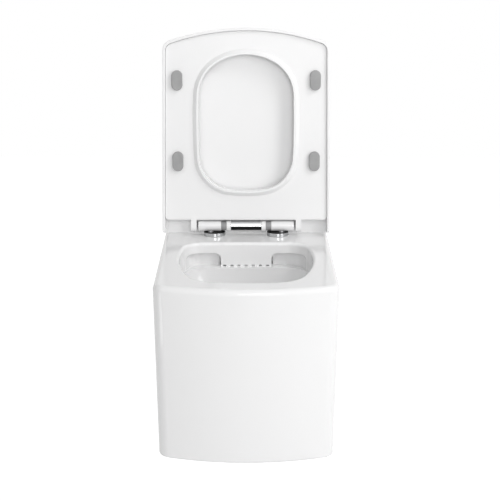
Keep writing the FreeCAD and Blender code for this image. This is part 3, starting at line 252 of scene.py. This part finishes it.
def chrome_with_painted_shade():
    """Chromed hinge base whose top under the barrel is painted black as shade, for the dark gap and its
    reflection there.
    """
    material = finish("chrome_with_painted_shade", CHROME_PALE, CHROME_DEEP, patch=45.0, gloss=(0.05, 0.11),
                      grain=1400.0, share=0.4, bump=(0.03, 0.0001))
    tree, shader, surface, place = finish_parts(material)
    # Painted shade: above these heights the base turns black and not metallic
    painted_shade = map_range(tree, place["Z"], BASE_SHADE_HEIGHTS, 0.0, 1.0)
    link(tree, mix_colours(tree, painted_shade, surface["Colour"], BLACK_PLASTIC_AND_SHADE), shader["Base Color"])
    link(tree, maths(tree, "SUBTRACT", 1.0, painted_shade), shader["Metallic"])
    return material


def finishes():
    """Every finish of the object, by the start of the node names that wear it."""
    glaze = glazed_ceramic()
    duroplast = finish("white_duroplast", SEAT_WHITE, SEAT_SHADE, patch=9.0, gloss=(0.255, 0.270),
                       grain=420.0, share=0.6, bump=(0.010, 0.0002), Specular_IOR_Level=0.2)
    moulded_white = finish("moulded_white", BARREL_WHITE, BARREL_SHADE, patch=30.0, gloss=(0.16, 0.24),
                           grain=900.0, share=0.5, bump=(0.05, 0.0002))
    buffer_grey = finish("buffer_grey", BUFFER_GREY, BUFFER_SHADE, patch=60.0, gloss=(0.50, 0.62),
                         grain=2400.0, share=0.8, bump=(0.18, 0.0002))
    collar_grey = finish("collar_grey", COLLAR_GREY, COLLAR_SHADE, patch=50.0, gloss=(0.32, 0.46),
                         grain=2000.0, share=0.7, bump=(0.12, 0.0002))
    gasket_clear = finish("gasket_clear", GASKET_CLEAR, GASKET_SHADE, patch=40.0, gloss=(0.30, 0.42),
                          grain=1200.0, share=0.6, bump=(0.08, 0.0002))
    release_black = finish("release_black", BLACK_PLASTIC_AND_SHADE, RELEASE_SHADE, patch=40.0, gloss=(0.32, 0.42),
                           grain=1500.0, share=0.6, bump=(0.03, 0.0002), Specular_IOR_Level=0.12)
    button_chrome = finish("button_chrome", BUTTON_PALE, BUTTON_DEEP, patch=45.0, gloss=(0.10, 0.16),
                           grain=1400.0, share=0.4, bump=(0.02, 0.0001), Metallic=1.0)
    steel = finish("turned_steel", STEEL_PALE, STEEL_DEEP, patch=60.0, gloss=(0.24, 0.38),
                   grain=1800.0, share=0.6, bump=(0.10, 0.0001), stretch=(1.0, 1.0, 0.08), Metallic=1.0)
    plug_black = finish("plug_black", PLUG_BLACK, PLUG_SHADE, patch=50.0, gloss=(0.55, 0.70),
                        grain=1600.0, share=0.7, bump=(0.15, 0.0002))
    return {
        "ceramic_pan": glaze, "seat_buffer": buffer_grey, "lid_buffer": buffer_grey,
        "seat_damper": collar_grey, "seat_rotor": collar_grey, "lid_damper": collar_grey,
        "lid_rotor": collar_grey, "hinge_barrel": moulded_white, "hinge_base": chrome_with_painted_shade(),
        "hinge_post": steel, "base_gasket": gasket_clear, "expansion_plug": plug_black,
        "plug_nut": steel, "fixing_sleeve": moulded_white, "fixing_washer": steel, "fixing_nut": steel,
        "latch_rod": steel, "latch_spring": steel, "release_housing": release_black,
        "release_button": button_chrome, "seat": duroplast, "lid": duroplast,
    }


def dress(chosen):
    """Gives every node the finish whose name matches the longest start of its own."""
    for name, piece in nodes.items():
        start = max((one for one in chosen if name.startswith(one)), key=len)
        if not piece.material_slots:
            piece.data.materials.append(None)
        for slot in piece.material_slots:
            slot.link = "OBJECT"
            slot.material = chosen[start]


def squeezed_spring(steel):
    """A copy of the latch spring, carried with the lid in place of the node."""
    spring = bpy.data.objects.new("latch_coil", nodes["latch_spring"].data.copy())
    spring.data.materials.clear()
    spring.data.materials.append(steel)
    scene.collection.objects.link(spring)
    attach(spring, "lid")
    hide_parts("latch_spring")
    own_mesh(spring)


def softbox(name, place, aim, width, height, power):
    """A rectangular studio lamp that points at one spot."""
    lamp = bpy.data.lights.new(name, "AREA")
    lamp.shape = "RECTANGLE"
    lamp.size, lamp.size_y, lamp.energy = width, height, power
    holder = bpy.data.objects.new(name, lamp)
    holder.location = place
    holder.rotation_euler = (Vector(aim) - Vector(place)).to_track_quat("-Z", "Y").to_euler()
    scene.collection.objects.link(holder)


def seen_directly(tree):
    """One for camera, mirror and glass rays, and nought for the light on the object."""
    path = tree.nodes.new("ShaderNodeLightPath")
    straight = maths(tree, "MAXIMUM", path.outputs["Is Camera Ray"], path.outputs["Is Glossy Ray"])
    return maths(tree, "MAXIMUM", straight, path.outputs["Is Transmission Ray"])


def white_surroundings():
    """A world that looks white and lights the object more from its bright side than from behind."""
    world = bpy.data.worlds.new("white_surroundings")
    world.use_nodes = True
    scene.world = world
    tree = world.node_tree
    backdrop = tree.nodes["Background"]
    backdrop.inputs["Color"].default_value = (1.0, 1.0, 1.0, 1.0)
    towards = tree.nodes.new("ShaderNodeVectorMath")
    towards.operation = "DOT_PRODUCT"
    link(tree, tree.nodes.new("ShaderNodeTexCoord").outputs["Generated"], towards.inputs[0])
    towards.inputs[1].default_value = BRIGHT_SIDE
    ambient = map_range(tree, towards.outputs["Value"], BRIGHT_REACH, AMBIENT_BEHIND, AMBIENT_BEFORE)
    lighting = map_range(tree, seen_directly(tree), (0.0, 1.0), ambient, 1.0)
    link(tree, lighting, backdrop.inputs["Strength"])


def pale_floor():
    """A wide floor that looks white where no shadow falls."""
    mesh = bpy.data.meshes.new("floor")
    corners = [(x * FLOOR_HALF, y * FLOOR_HALF, FLOOR_LEVEL)
               for x, y in ((-1, -1), (1, -1), (1, 1), (-1, 1))]
    mesh.from_pydata(corners, [], [(0, 1, 2, 3)])
    floor = bpy.data.objects.new("floor", mesh)
    scene.collection.objects.link(floor)
    material = finish("floor_paint", FLOOR_PALE, FLOOR_SHADE, patch=2.0, gloss=(0.8, 0.9), grain=60.0,
                      share=0.5, bump=(0.02, 0.0005), Specular_IOR_Level=0.0,
                      Emission_Color=(1.0, 1.0, 1.0, 1.0))
    tree = material.node_tree
    glow = maths(tree, "MULTIPLY", seen_directly(tree), FLOOR_GLOW)
    link(tree, glow, tree.nodes["Principled BSDF"].inputs["Emission Strength"])
    mesh.materials.append(material)


def camera():
    """The viewer in front of the pan, looking down on the seat's hinge."""
    lens = bpy.data.cameras.new("camera")
    lens.sensor_width = CAMERA_SENSOR
    lens.lens = CAMERA_LENS
    lens.shift_x, lens.shift_y = CAMERA_SHIFT
    viewer = bpy.data.objects.new("camera", lens)
    viewer.location = CAMERA_PLACE
    viewer.rotation_euler = (math.pi / 2 - CAMERA_DIP, 0.0, 0.0)
    scene.collection.objects.link(viewer)
    scene.camera = viewer


chosen_finishes = finishes()
dress(chosen_finishes)
squeezed_spring(chosen_finishes["latch_spring"])
camera()
white_surroundings()
pale_floor()
for lamp_values in LAMPS:
    softbox(*lamp_values)

scene.view_settings.view_transform = "Standard"
